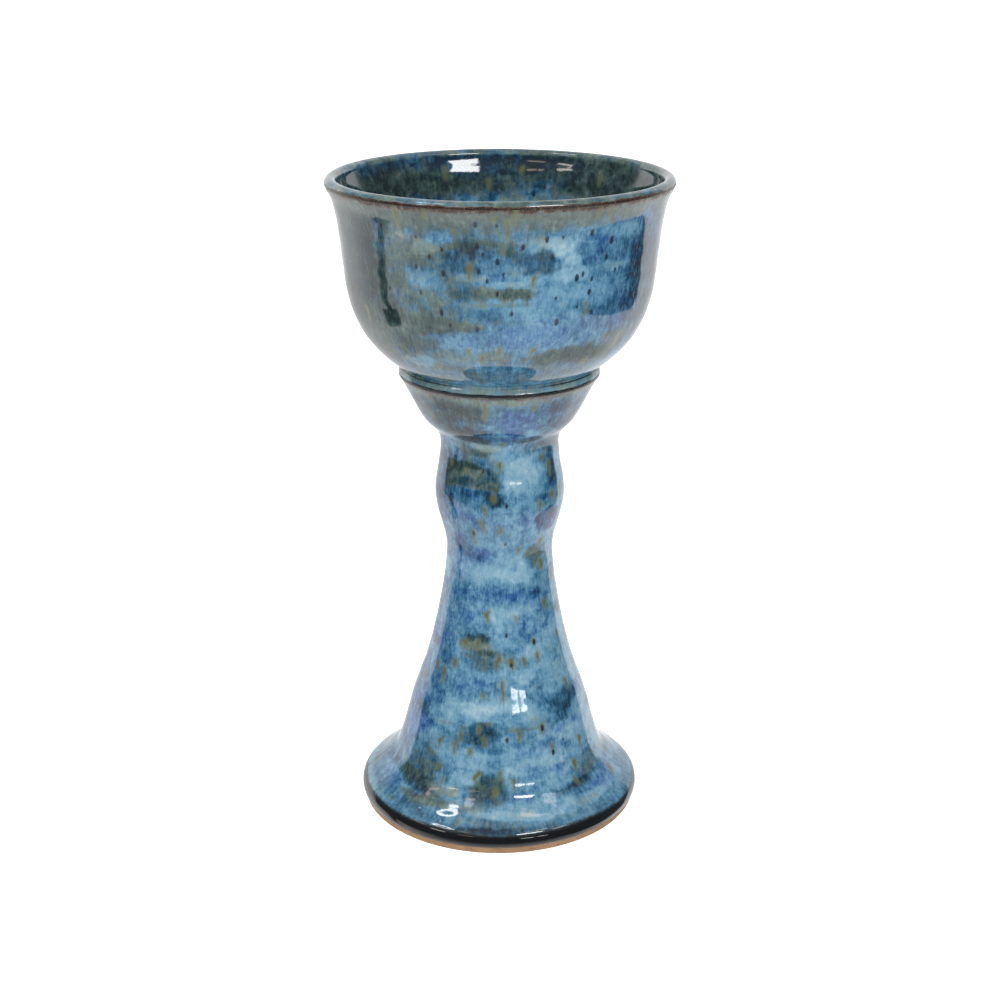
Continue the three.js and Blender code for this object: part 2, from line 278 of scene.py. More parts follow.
STEM_MARKS = strokes(
    (14, 118.5, 8.5, 4, 70, 70), (-32, 119, 9, 6, 92, -60), (2, 124.8, 5, 1, 40, -85, 70),
    (45, 121, 6, 4, 75, -30, 50), (-22, 108.4, 6, 1.2, 90, -60, 80), (14, 109, 3.5, 0.9, 50, 0, 60),
    (20, 101, 5.6, 4.6, 20, -5), (8, 92.8, 5, 1, 20, -30, 70), (-12, 104, 4, 1, 60, 20, 60),
    (-49, 101, 3, 3.6, 90, -75, 90), (-30, 100.5, 4, 3.2, 70, -60, 80), (-11, 99.6, 3.7, 1.9, 97, -45, 95),
    (-30, 96.3, 4.5, 1.2, 85, 60, 90), (-14, 96, 3, 1.2, 82, 60, 80), (-5, 95.2, 2.4, 1.9, 90, -25, 90),
    (-47, 95, 0.9, 2.6, 100, 60, 90), (-46, 105.6, 0.9, 0.8, 95, -30, 80), (56, 101, 1.8, 5, 85, 10, 90),
    (50, 97.5, 2.5, 1.2, 75, 40, 80), (38, 95.1, 4, 0.8, 72, 55), (50, 105, 2.5, 1.2, 70, 10, 70),
    (-28, 90, 5, 2, 60, 45, 70), (-30, 79, 5, 2, 62, 60, 70), (-15, 76.7, 3, 1.4, 60, 70, 60),
    (-42, 81, 4, 4, 60, 40, 60), (50, 87.6, 4.4, 3.4, 88, 60, 90), (5, 88, 4, 1, 50, 50, 50),
    (30, 86, 5, 2, 40, 40, 50), (0, 74, 5, 2.5, 18, 0, 70), (22, 72, 4, 2, 15, -10, 70),
    (40, 77.3, 3.2, 2.2, 75, -70), (48, 74, 2, 1.6, 50, -90, 70), (-30, 73, 4, 2, 30, 40, 60),
    (10, 66.8, 7, 1.6, 68, 45), (-28, 66.5, 6, 1.6, 62, 45, 70), (37, 66.3, 1.6, 1.2, 95, 70, 80),
    (45, 63, 3, 1.5, 70, 40, 70), (8, 61.5, 7, 1.8, 26, 10, 75), (-35, 62, 6, 2.5, 55, 45, 60),
    (28, 57.5, 5, 3, 55, 40, 80), (45, 59, 5, 3, 66, 40, 70), (3, 55, 4, 3, 30, 0, 50),
    (-27, 52.5, 3.5, 1.5, 50, -100, 80), (-12, 47.5, 5, 2, 66, -60, 80), (-17, 54.6, 3.8, 1.3, 80, -85, 90),
    (-10, 50.8, 3.5, 1.2, 78, -80, 90), (-24, 49.8, 3, 0.8, 70, -60, 60), (-5, 43, 3, 1.6, 60, 50, 60),
    (-30, 40, 5, 2.5, 62, 50, 70), (-14, 42.5, 3, 1.5, 60, 60, 80), (-52, 44, 4, 6, 70, 30, 70),
    (15, 43, 6, 2, 50, 50, 50), (38, 39, 4, 1.5, 60, 30, 60), (33, 44, 5, 2, 42, 20, 50),
    (48, 34, 4.4, 3.6, 90, 20, 90), (62, 36, 4, 3, 80, 30, 70), (-72, 29, 8, 7, 55, 100),
    (-51, 29.6, 2, 1.3, 95, 75), (-20, 35, 8.5, 2, 8, 10), (5, 33.5, 5, 1.4, 30, 10, 60),
    (-30, 30.5, 7, 0.5, 50, -100, 75), (-8, 31.8, 4, 0.5, 62, -100, 80), (14, 30.3, 7, 0.5, 50, -100, 65),
    (-10, 28.6, 5.5, 2.6, 90, -35, 92), (-3, 25, 4, 1.6, 70, -10, 70), (8, 27.5, 4, 1.7, 56, 30, 90),
    (32, 27.5, 4, 1.3, 22, 0, 60), (50, 28, 7, 1.6, 45, 70, 70), (10, 20, 12, 3, 36, 20, 60),
    (-20, 21, 7, 2.5, 26, 10, 60), (25, 18, 5, 2.5, 50, 55, 60), (-47, 18, 6, 5, 74, -60),
    (-60, 14, 6, 4, 60, -50, 70), (-40, 13, 5, 2, 75, -20, 70), (-5, 15, 5, 4, 70, -80, 90),
    (60, 16, 5, 3, 55, -70, 70), (48, 12.6, 9, 0.9, 85, -45), (-62, 10.6, 10, 2.6, 50, 90, 80),
    (66, 11, 9, 2.4, 50, 80, 75), (-47, 12.8, 9, 2.2, 86, -75, 90), (-60, 9, 8, 2, 60, 60, 60),
    (30, 9.5, 6, 2, 22, 10, 60), (55, 9.5, 8, 2, 42, 60, 60), (-10, 109.3, 4, 1.2, 20, -60, 80),
    (0, 107.2, 3.4, 1.4, 30, -10, 75), (20, 95, 3.4, 2, 36, 0, 75), (-43, 101.6, 4.6, 4.4, 74, -90, 97),
    (-20, 101.2, 6, 3.6, 50, -90, 97), (-50, 104, 2, 2, 100, -70, 95), (-35, 99.8, 3.6, 1.2, 98, -60, 95),
    (-12, 101, 3.2, 2.2, 85, -60, 93), (-26, 103.8, 4, 0.8, 95, -85, 90), (-30, 102, 2.2, 1, 55, -85, 80),
    (-22, 97, 4, 0.9, 90, 40, 90), (-40, 96.6, 3, 1.2, 80, 30), (48, 88, 4.2, 2.8, 96, 60, 95),
    (39, 79, 2.6, 1.6, 62, -80), (40, 74.6, 2.4, 1.6, 58, -80, 80), (-40, 80.4, 2.8, 2.6, 86, 50, 90),
    (-25, 78.2, 3, 1.8, 78, 50), (0, 76.4, 3.4, 1.6, 40, 20, 80), (36, 66, 2.4, 1.6, 86, 50),
    (35, 59, 3, 1.8, 40, 10, 80), (30, 50.5, 4, 1.8, 20, 0), (-14, 44.6, 3.4, 1, 40, 20, 70),
    (-35, 43, 3.4, 1.6, 40, 20, 70), (-31, 35, 3.4, 1.4, 50, 10, 70), (-62, 31, 4, 3, 80, 20),
    (-10, 29, 5, 2.2, 84, -30, 95), (50, 26.6, 6, 1.8, 16, 0), (-20, 17.2, 4, 2, 20, 0),
    (12, 15.4, 5, 2, 36, 0, 80), (5, 8.8, 6, 1.2, 16, -20, 80), (20, 8.4, 6, 1.2, 20, 0, 80),
    (57, 9, 6, 1.4, 25, 30, 80), (-30, 13.2, 5, 1.6, 30, -80), (35, 15, 5, 2.4, 36, 0), (20, 44, 4, 2, 20, 0, 80),
    (-50, 36, 4, 2.5, 64, 30, 80), (0, 22, 4, 2, 58, 0, 70), (45, 9, 6, 1.4, 35, -60, 80),
    (0, 84, 4, 2, 60, -10, 70), (-45, 9.8, 6, 1.2, 50, -90), (44, 40, 4, 2, 40, 0, 70),
    # The strokes at about 112 mm, under the collar, are painted reflection: the dark image of the stem and knop
    # that the collar's downward-facing glaze mirrors.
    (30, 20.5, 5, 1.6, 24, 0, 80), (-22, 112.2, 5.8, 1.7, 100, -60, 97), (6, 112.6, 4, 1.6, 74, 45, 95),
    (25, 112.3, 3, 1.5, 98, -40, 97), (-3, 6.4, 11, 1, 88, -40, 90), (0, 9.3, 12, 1.2, 12, -40, 90),
    (-26, 8.2, 10, 1.2, 50, -20, 70),
)
# Runs of rust: (angle, top height mm, length mm, half width mm).
BOWL_RUNS = [
    (-34, 177.6, 5, 0.3), (-23.5, 177.3, 1.6, 0.22), (-14.5, 172.3, 0.5, 0.3), (2.3, 174.8, 3.6, 0.42),
    (4.7, 178, 3.6, 0.22), (-2, 176, 0.8, 0.2), (36.5, 177, 2.4, 0.28), (32, 176.8, 1.6, 0.22),
    (-10, 164, 2.8, 0.42), (11.2, 161, 2.2, 0.3), (1, 168.2, 0.7, 0.25), (-0.5, 142.4, 1.8, 0.38),
    (12.2, 142, 2, 0.38), (-11.5, 142, 1.2, 0.3), (-6.8, 139.9, 2, 0.35), (51.8, 142, 2.4, 0.4),
    (37.7, 137, 1.2, 0.4), (-25.5, 136.8, 1.2, 0.35), (31, 153.2, 2.6, 0.25),
]
STEM_RUNS = [
    (-8.7, 124.2, 5, 0.42), (-44, 125, 1.6, 0.3), (21.5, 123.2, 0.6, 0.45), (2, 111.2, 0.6, 0.3),
    (44, 106, 0.8, 0.45), (53.5, 103.6, 3, 0.42), (-52, 104, 0.4, 0.35), (-32, 102.8, 0.3, 0.25),
    (0.6, 105, 1.6, 0.35), (-5.5, 96.2, 1, 0.4), (37, 93.4, 1.8, 0.42), (52.5, 95.2, 1, 0.5),
    (-12.5, 93, 1.8, 0.3), (-16, 88.8, 2.2, 0.38), (-25.5, 85.2, 0.7, 0.42), (-25.3, 84.3, 2.6, 0.22),
    (0, 87, 1.6, 0.35), (19.3, 79.8, 0.4, 0.4), (46, 81.4, 0.8, 0.6), (50, 75, 2, 0.5), (-11, 61.8, 1.8, 0.5),
    (50, 63, 1.4, 0.45), (32, 53.3, 0.5, 0.35), (15.5, 60.5, 1, 0.25), (-18, 53.4, 1, 0.5), (-30, 53, 0.6, 0.5),
    (-1.3, 49.4, 2.4, 0.5), (9.5, 48.6, 1.8, 0.55), (20.5, 48.8, 1.6, 0.36), (34, 49.4, 1.8, 0.42),
    (-38.5, 47, 1.2, 0.5), (-48, 44, 3.2, 0.42), (-58, 45, 2, 0.4), (2.6, 43, 5, 0.3), (-11.5, 39.6, 0.8, 0.3),
    (58, 39.6, 2, 0.4), (-13.2, 30.6, 1, 0.35), (-24.6, 29, 2.2, 0.36), (-27.5, 26, 3, 0.36),
    (-38.6, 25.4, 1.6, 0.45), (-18, 24.5, 1.2, 0.36), (-9.2, 27.8, 1.6, 0.42), (12.4, 29.4, 1.8, 0.4),
    (28.6, 30.4, 1.4, 0.5), (34, 24.5, 2, 0.3), (57, 23, 1.6, 0.5), (49, 17.6, 1.6, 0.6),
    (45.5, 13.4, 0.8, 0.5), (-12.5, 18.2, 2, 0.6), (-2.2, 14.4, 1.2, 0.42), (0.5, 19, 1.6, 0.32),
    (8, 17, 2.4, 0.3), (-32, 15.4, 0.6, 0.3), (-37, 18.4, 0.6, 0.35), (-18, 7.6, 0.5, 0.3),
]
# Iron spots: (angle, height mm, half width mm).
BOWL_SPOTS = [
    (-19, 167.8, 0.3), (-23.5, 165.8, 0.36), (-7.3, 169, 0.42), (-5.4, 167, 0.3), (-0.9, 165.2, 0.4),
    (7.5, 168.7, 0.38), (-7, 162.7, 0.34), (1.3, 162, 0.28), (-19, 161.9, 0.45), (-29, 163, 0.3),
    (31, 171.4, 0.42), (39.5, 168.8, 0.5), (38.2, 164.7, 0.38), (54, 165.2, 0.34), (54, 161.4, 0.48),
    (54.6, 158.4, 0.32), (55.8, 153, 0.5), (32, 156.3, 0.4), (26.8, 160.3, 0.45), (29, 161, 0.34),
    (32.6, 159.5, 0.32), (20, 149.3, 0.46), (33.6, 151, 0.34), (-8, 147.9, 0.36), (-17.5, 148.6, 0.34),
    (4, 152, 0.34), (-20.5, 151.8, 0.4), (27.4, 152.8, 0.28), (19.2, 155.5, 0.26), (15, 170.6, 0.4),
    (20.4, 170.8, 0.26), (-28, 170.6, 0.28), (-7.6, 174.4, 0.42), (-1, 174.3, 0.28), (42.8, 161, 0.3),
    (-4.2, 160.3, 0.32), (-1, 157.1, 0.3), (-28, 156.5, 0.3), (-50, 156.3, 0.45), (-41, 156.3, 0.3),
    (-41.5, 172.4, 0.5), (36, 166.4, 0.24),
]
STEM_SPOTS = [
    (-47, 94, 0.5), (-15.5, 103, 0.25), (6, 93.8, 0.35), (5.5, 82, 0.25), (6.5, 55.8, 0.3), (32.2, 53, 0.4),
    (5, 27.8, 0.35), (9.6, 47.5, 0.3), (34, 22.5, 0.4), (28.6, 29.8, 0.4), (-25.5, 85, 0.35), (43, 24.8, 0.25),
]
BLISTERS = [(-38.5, 8.2, 0.75), (-35.8, 8, 0.5), (28.7, 30.1, 0.5), (34, 22.5, 0.4)]


class Ground:
    """The vertices of one turned piece, by angle, height and length along the outline, all in mm."""

    def __init__(self, outline, columns):
        self.outline, self.columns = outline, columns
        turn = np.arange(columns) * 360.0 / columns
        turn = np.where(turn > 180, turn - 360, turn)
        along = travel(outline)
        if outline[0, 1] > outline[-1, 1]:
            along = along[-1] - along
        self.angle = np.tile(turn, len(outline))
        self.radius = np.repeat(outline[:, 0], columns)
        self.height = np.repeat(outline[:, 1], columns)
        self.along = np.repeat(along, columns)
        order = np.argsort(outline[:, 1], kind="stable")
        self.heights = outline[order, 1]
        self.alongs = along[order]
        rad = np.radians(self.angle)
        self.x = self.radius * np.sin(rad)
        self.y = -self.radius * np.cos(rad)
        middle = float(np.median(outline[:, 0]))
        self.flow = np.column_stack([np.sin(rad) * middle, -np.cos(rad) * middle, self.along])

    def across(self, angle):
        return ((self.angle - angle + 180.0) % 360.0 - 180.0) * np.radians(1) * np.maximum(self.radius, 4.0)

    def up(self, height):
        """Upwards along the outline, from its point at this height."""
        return self.along - np.interp(height, self.heights, self.alongs)


def scattered(rng, count, clear, low, high, ranges):
    """Random rows like those above, kept off the front by a clear angle to each side."""
    rows = []
    while len(rows) < count:
        angle = rng.uniform(-180, 180)
        height = rng.uniform(low, high)
        row = [rng.uniform(*r) for r in ranges]
        if abs(angle) > clear:
            rows.append((angle, height, *row))
    return rows


def layers(seed, scatter, placed=((), (), (), ())):
    """Washes, marks, runs and spots: random ones first, then the listed ones."""
    rng = np.random.default_rng(seed)
    return [[*scattered(rng, *how), *rows] for how, rows in zip(scatter, placed)]


def tones(ground, washes, marks, seed, ragged):
    """Depth and hue: bands and blotches of noise, with washes and marks laid over. Their edges are ragged,
    by features so many to a millimetre around the pot and along the flow."""
    flow = ground.flow
    bands = layered(flow * [0.035, 0.035, 0.2], seed)
    blotches = layered(flow * [0.12, 0.12, 0.2], seed + 10)
    depth = 0.53 + 0.12 * bands + 0.1 * blotches
    hue = 0.4 * layered(flow * [0.05, 0.05, 0.11], seed + 20)
    around, along = ragged
    frayed = 0.32 * layered(flow * [around, around, along], seed + 30)
    frayed += 0.28 * layered(flow * [0.2, 0.2, 0.24], seed + 40, 2)
    for rows, inner, outer in ((washes, 0.2, 1.6), (marks, 0.6, 1.35)):
        for angle, height, width, tall, to_depth, to_hue, strength in rows:
            edge = np.hypot(ground.across(angle) / width, ground.up(height) / tall) + frayed
            cover = strength * (1 - ease(inner, outer, edge))
            depth = depth + (to_depth + 0.1 * blotches - depth) * cover
            hue = hue + (to_hue - hue) * cover
    return depth, hue


def inside_runs(ground, runs, wander):
    """How deep each point lies inside the nearest run, in mm, and less than 0 outside."""
    best = np.full(ground.angle.shape, -2.0)
    for angle, top, length, half in runs:
        up = ground.up(top)
        near = np.clip(up, -length, 0)
        across = ground.across(angle) + wander * half * 1.2
        taper = 1.3 * half * (1 - 0.45 * np.abs(near) / max(length, 0.1))
        best = np.maximum(best, taper - np.hypot(across, (up - near) * 0.8))
    return best


def inside_spots(ground, spots, wander):
    best = np.full(ground.angle.shape, -2.0)
    for angle, height, half in spots:
        across = ground.across(angle) + wander * half * 0.5
        best = np.maximum(best, 1.25 * half - np.hypot(across, ground.up(height) * 0.6))
    return best


def blistered(ground, blisters):
    raised = np.zeros(ground.angle.shape)
    for angle, height, half in blisters:
        reach = np.hypot(ground.across(angle), ground.up(height)) / half
        raised = np.maximum(raised, 0.45 * half * np.sqrt(np.clip(1 - reach**2, 0, 1)))
    return raised


# ---------------------------------------------------------------- turning an outline into a mesh


def linked(name, data):
    """A new object in the scene."""
    made = bpy.data.objects.new(name, data)
    bpy.context.scene.collection.objects.link(made)
    return made


def turned(name, ground, back, relief, fields, slot):
    """One closed piece. The ground's outline is the surface that shows, with relief in mm along its normals
    and one value to a vertex in each field; back is the plain rest, from the surface's end to its start. An
    outline that meets the axis ends there. It runs so that the solid lies on its left."""
    surface, columns = ground.outline, ground.columns
    ends_on_axis = surface[-1, 0] < 1e-6
    outline = np.vstack([back, surface] if ends_on_axis else [surface, back])
    first = len(back) if ends_on_axis else 0
    on_surface = np.zeros(len(outline), bool)
    on_surface[first : first + len(surface)] = True
    along = np.gradient(outline, axis=0)
    normal = np.column_stack([along[:, 1], -along[:, 0]]) / np.linalg.norm(along, axis=1)[:, None]
    offset = np.zeros((len(outline), columns))
    offset[on_surface] = relief.reshape(len(surface), columns)
    turn = np.radians(np.arange(columns) * 360.0 / columns)
    radius = outline[:, :1] + normal[:, :1] * offset
    height = outline[:, 1:] + normal[:, 1:] * offset
    points = np.stack(hand_made(radius * np.sin(turn), -radius * np.cos(turn), height), axis=-1) * MM

    poles = [i for i in (0, len(outline) - 1) if outline[i, 0] < 1e-6]  # one vertex each, on the axis
    starts = np.concatenate([[0], np.cumsum([1 if i in poles else columns for i in range(len(outline))])])
    ids = starts[:-1, None] + np.arange(columns)
    ids[poles] = starts[poles][:, None]

    def listed(grid):
        return np.concatenate([grid[i, :1] if i in poles else grid[i] for i in range(len(outline))])

    co = listed(points)
    values = {}
    for field, data in fields.items():
        grid = np.zeros((len(outline), columns, *data.shape[1:]))
        grid[on_surface] = data.reshape(len(surface), columns, *data.shape[1:])
        values[field] = listed(grid)

    faces = []
    rows = range(len(outline) - 1) if poles else range(len(outline))
    for i in rows:
        low, high = ids[i], ids[(i + 1) % len(outline)]
        quad = np.column_stack([low, np.roll(low, -1), np.roll(high, -1), high])
        if i in poles:
            quad = quad[:, [0, 2, 3]]
        elif (i + 1) % len(outline) in poles:
            quad = quad[:, [0, 1, 2]]
        faces.append(quad)
    mesh = bpy.data.meshes.new(name)
    sizes = np.concatenate([np.full(len(f), f.shape[1]) for f in faces])
    mesh.vertices.add(len(co))
    mesh.vertices.foreach_set("co", co.astype(np.float32).ravel())
    mesh.loops.add(int(sizes.sum()))
    mesh.loops.foreach_set("vertex_index", np.concatenate([f.ravel() for f in faces]).astype(np.int32))
    mesh.polygons.add(len(sizes))
    mesh.polygons.foreach_set("loop_start", np.concatenate([[0], np.cumsum(sizes)[:-1]]).astype(np.int32))
    mesh.update(calc_edges=True)
    mesh.validate()
    mesh.polygons.foreach_set("use_smooth", np.ones(len(mesh.polygons), bool))
    mesh.set_sharp_from_angle(angle=math.radians(50))
    for field, data in values.items():
        vector = data.ndim == 2
        attribute = mesh.attributes.new(field, "FLOAT_VECTOR" if vector else "FLOAT", "POINT")
        attribute.data.foreach_set("vector" if vector else "value", data.astype(np.float32).ravel())
    piece = linked(name, mesh)
    mesh.materials.append(MATERIALS[slot]())
    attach(piece, "root")
    return piece


# ---------------------------------------------------------------- materials


def srgb(r, g, b):
    """A colour from 0 to 255 a channel, as the shader's linear values."""
    def one(c):
        c /= 255.0
        return c / 12.92 if c <= 0.04045 else ((c + 0.055) / 1.055) ** 2.4
    return (one(r), one(g), one(b), 1.0)


def shades(*rows):
    """The stops of a ramp, from rows of (place, red, green, blue)."""
    return [(place, srgb(*colour)) for place, *colour in rows]


class Nodes:
    """Short words for the shader nodes that the materials and the world are made of."""

    def __init__(self, tree):
        tree.nodes.clear()
        self.tree = tree

    def add(self, kind, **settings):
        node = self.tree.nodes.new("ShaderNode" + kind)
        for key, value in settings.items():
            setattr(node, key, value)
        return node

    def feed(self, socket, value):
        if isinstance(value, bpy.types.NodeSocket):
            self.tree.links.new(value, socket)
        else:
            socket.default_value = value

    def math(self, operation, *values, clamp=False):
        node = self.add("Math", operation=operation, use_clamp=clamp)
        for socket, value in zip(node.inputs, values):
            self.feed(socket, value)
        return node.outputs[0]

    def times(self, a, b):
        return self.math("MULTIPLY", a, b)

    def line(self, value, slope, start):
        return self.math("MULTIPLY_ADD", value, slope, start)

    def rest(self, value):
        return self.math("SUBTRACT", 1.0, value)

    def step(self, value, low, high):
        """0 below low, 1 above high and smooth between; low may be the larger."""
        if low > high:
            return self.rest(self.step(value, high, low))
        node = self.add("MapRange", interpolation_type="SMOOTHSTEP")
        self.feed(node.inputs["Value"], value)
        node.inputs["From Min"].default_value = low
        node.inputs["From Max"].default_value = high
        return node.outputs["Result"]

    def ramp(self, value, stops):
        node = self.add("ValToRGB")
        ramp = node.color_ramp
        while len(ramp.elements) < len(stops):
            ramp.elements.new(0.5)
        for element, (at, colour) in zip(ramp.elements, stops):
            element.position = at
            element.color = colour
        self.feed(node.inputs["Fac"], value)
        return node.outputs["Color"]

    def mix(self, amount, a, b):
        node = self.add("Mix", data_type="RGBA")
        for socket, value in ((0, amount), (6, a), (7, b)):  # the colour sockets of a mix are 6 and 7
            self.feed(node.inputs[socket], value)
        return node.outputs[2]

    def attribute(self, name, output="Fac"):
        return self.add("Attribute", attribute_name=name).outputs[output]

    def noise(self, vector, scale, detail, roughness, distortion=0.0):
        """Noise about 0, from roughly -0.5 to 0.5. scale is features to a unit along each axis."""
        mapping = self.add("Mapping")
        self.feed(mapping.inputs["Vector"], vector)
        mapping.inputs["Scale"].default_value = scale
        node = self.add("TexNoise")
        settings = {"Vector": mapping.outputs[0], "Scale": 1.0, "Detail": detail, "Roughness": roughness,
                    "Distortion": distortion}
        for name, value in settings.items():
            self.feed(node.inputs[name], value)
        return self.math("SUBTRACT", node.outputs["Fac"], 0.5)

    def sum(self, first, *terms):
        """first plus each (value, factor)."""
        total = first
        for value, factor in terms:
            total = self.line(value, factor, total)
        return total


def new_material(name):
    made = bpy.data.materials.new(name)
    made.use_nodes = True
    nodes = Nodes(made.node_tree)
    shader = nodes.add("BsdfPrincipled")
    out = nodes.add("OutputMaterial")
    made.node_tree.links.new(shader.outputs[0], out.inputs["Surface"])
    return made, nodes, shader


def millimetres(nodes):
    place = nodes.add("TexCoord").outputs["Object"]
    node = nodes.add("VectorMath", operation="SCALE")
    nodes.feed(node.inputs[0], place)
    node.inputs["Scale"].default_value = 1 / MM
    return node.outputs[0]


def bumped(nodes, shader, height):
    """Relief from a height in mm."""
    node = nodes.add("Bump")
    node.inputs["Distance"].default_value = MM
    node.inputs["Strength"].default_value = 1.0
    nodes.feed(node.inputs["Height"], height)
    nodes.feed(shader.inputs["Normal"], node.outputs["Normal"])


GLOSS = 0.05  # roughness
# The colours of the glaze from pale and thin to dark and deep, and where it breaks over the clay.
OLIVE = shades((0.0, 156, 176, 170), (0.3, 116, 138, 134), (0.55, 84, 104, 101), (0.78, 52, 76, 75),
               (1.0, 22, 42, 46))
SKY = shades((0.0, 164, 196, 208), (0.2, 134, 174, 194), (0.42, 104, 152, 180), (0.62, 68, 118, 150),
             (0.82, 32, 82, 112), (1.0, 14, 44, 66))
PERIWINKLE = shades((0.0, 156, 182, 210), (0.25, 118, 152, 194), (0.5, 76, 120, 168), (0.75, 30, 80, 136),
                    (1.0, 9, 36, 82))
THIN = shades((0.0, 112, 128, 120), (0.35, 98, 108, 102), (0.6, 84, 76, 72), (0.78, 74, 48, 34),
              (0.9, 42, 28, 24), (1.0, 26, 19, 18))


def glaze(name, shade_and_depth=0.0, fibres=0.35, wisps=0.5, skirt=False):
    """Floating blue glaze. The vertex fields say what it does where; noise along the flow frays them."""
    made, nodes, shader = new_material(name)
    place = millimetres(nodes)
    flow = nodes.attribute("flow", "Vector")
    fibre = nodes.noise(flow, (2.4, 2.4, 0.7), 2.0, 0.55)
    wisp = nodes.noise(flow, (0.3, 0.3, 0.34), 4.0, 0.6, 0.5)
    mottle = nodes.noise(place, (0.55, 0.55, 0.5), 5.0, 0.66, 0.6)
    cloud = nodes.noise(flow, (0.17, 0.17, 0.24), 3.0, 0.55, 0.8)
    grain = nodes.noise(place, (4.0, 4.0, 4.0), 2.0, 0.6)

    drips = nodes.times(nodes.noise(flow, (1.2, 1.2, 0.28), 3.0, 0.6), nodes.attribute("depth"))

    depth = nodes.sum(nodes.attribute("depth"), (fibre, fibres), (mottle, 0.7), (wisp, wisps), (grain, 0.12),
                      (drips, 0.8))
    if skirt:
        length = nodes.add("SeparateXYZ")
        nodes.feed(length.inputs[0], flow)
        streak = nodes.noise(flow, (1.5, 1.5, 0.22), 3.0, 0.6)
        low = nodes.times(nodes.step(length.outputs[2], 44, 22), 0.32)
        depth = nodes.line(streak, low, depth)
    # shade_and_depth darkens the whole piece; inside the cup it is partly painted shade for the hollow.
    depth = nodes.math("ADD", depth, shade_and_depth, clamp=True)
    hue = nodes.sum(nodes.attribute("hue"), (cloud, 1.3), (fibre, 0.3), (mottle, 1.0), (wisp, 0.8))
    olive, sky, periwinkle = (nodes.ramp(depth, stops) for stops in (OLIVE, SKY, PERIWINKLE))
    colour = nodes.mix(nodes.step(hue, 0.1, 0.9), sky, periwinkle)
    colour = nodes.mix(nodes.step(hue, -0.1, -0.8), colour, olive)

    thin = nodes.sum(nodes.attribute("thin"), (fibre, 0.5), (grain, 0.2))
    iron = nodes.sum(thin, (mottle, 1.1), (grain, 0.6))
    colour = nodes.mix(nodes.step(thin, 0.06, 0.62), colour, nodes.ramp(iron, THIN))
    # Painted highlight: golden glints speckled over the brown break, standing for lamps caught by its rough
    # grain.
    painted_glint = nodes.times(nodes.step(iron, 0.5, 0.7), nodes.step(grain, 0.08, 0.2))
    colour = nodes.mix(nodes.times(painted_glint, 0.6), colour, srgb(158, 104, 58))
    pool = nodes.sum(nodes.attribute("pool"), (fibre, 0.4), (mottle, 0.4))
    colour = nodes.mix(nodes.step(pool, 0.1, 0.6), colour, srgb(34, 56, 62))
    colour = nodes.mix(nodes.step(pool, 0.45, 0.9), colour, srgb(9, 12, 17))

    run = nodes.sum(nodes.attribute("run"), (fibre, 0.5), (mottle, 0.5), (grain, 0.15))
    colour = nodes.mix(nodes.times(nodes.step(run, -1.1, 0.2), 0.6), colour, srgb(108, 122, 88))
    colour = nodes.mix(nodes.times(nodes.step(run, -0.3, 0.5), 0.85), colour, srgb(98, 90, 44))
    spot = nodes.sum(nodes.attribute("spot"), (grain, 0.35), (fibre, 0.25))
    colour = nodes.mix(nodes.times(nodes.step(spot, -0.22, 0.12), 0.9), colour, srgb(16, 26, 44))
    nodes.feed(shader.inputs["Base Color"], colour)

    dry = nodes.step(thin, 0.7, 0.95)
    rough = nodes.sum(GLOSS, (dry, 0.22), (nodes.math("ABSOLUTE", mottle), 0.05))
    nodes.feed(shader.inputs["Roughness"], rough)
    shader.inputs["IOR"].default_value = 1.54
    ripple = nodes.noise(place, (0.55, 0.55, 0.5), 2.0, 0.5)
    pinholes = nodes.step(spot, 0.0, 0.3)
    rim = nodes.times(grain, dry)
    height = nodes.sum(nodes.times(ripple, 0.012), (grain, 0.002), (pinholes, -0.03), (rim, 0.12))
    bumped(nodes, shader, height)
    return made


def clay(name, light=(186, 152, 118), dark=(140, 108, 80)):
    """Bare fired stoneware: sandy, flecked with iron, with fine lines from turning."""
    made, nodes, shader = new_material(name)
    place = millimetres(nodes)
    broad = nodes.noise(place, (0.16, 0.16, 0.3), 4.0, 0.6)
    sand = nodes.noise(place, (3.5, 3.5, 3.5), 3.0, 0.7)
    lines = nodes.noise(place, (0.05, 0.05, 3.0), 2.0, 0.6)
    tone = nodes.sum(0.5, (broad, 0.9), (sand, 0.7), (lines, 0.35))
    colour = nodes.ramp(tone, shades((0.15, *dark), (0.6, *light), (0.95, 206, 178, 146)))
    flecks = nodes.noise(place, (1.3, 1.3, 1.3), 1.0, 0.5)
    colour = nodes.mix(nodes.step(flecks, 0.2, 0.27), colour, srgb(84, 58, 40))
    nodes.feed(shader.inputs["Base Color"], colour)
    nodes.feed(shader.inputs["Roughness"], nodes.sum(0.86, (sand, 0.15)))
    shader.inputs["IOR"].default_value = 1.45
    bumped(nodes, shader, nodes.sum(nodes.times(sand, 0.09), (lines, 0.08), (flecks, 0.04)))
    return made


MATERIALS = {
    "stoneware_clay": lambda: clay("bare_stoneware"),
    "joining_slip": lambda: clay("fired_slip", (170, 138, 106), (126, 96, 70)),
    "stem_glaze": lambda: glaze("glaze_on_stem", fibres=0.34, wisps=0.7, skirt=True),
    "bowl_glaze": lambda: glaze("glaze_on_bowl"),
    # The inside of the cup is darker all over: partly the glaze's deeper colour, partly painted shade for the
    # hollow, which the front fill light reaches.
    "liner_glaze": lambda: glaze("glaze_inside_cup", shade_and_depth=0.22, fibres=0.3, wisps=1.2),
}


# ---------------------------------------------------------------- the pieces


def coat_back(surface):
    """The hidden side of a coat: its surface, coarser, moved into the clay, and run the other way."""
    picked = np.unique(np.r_[0 : len(surface) : 6, len(surface) - 1])
    return beside(surface[picked], GLAZE)[::-1]


def seam(ground, *heights):
    """0 at the stated heights and 1 from 0.6 mm away, so that neighbours meet there."""
    clear = np.ones(ground.angle.shape)
    for height in heights:
        clear *= ease(0.0, 0.6, np.abs(ground.height - height))
    return clear


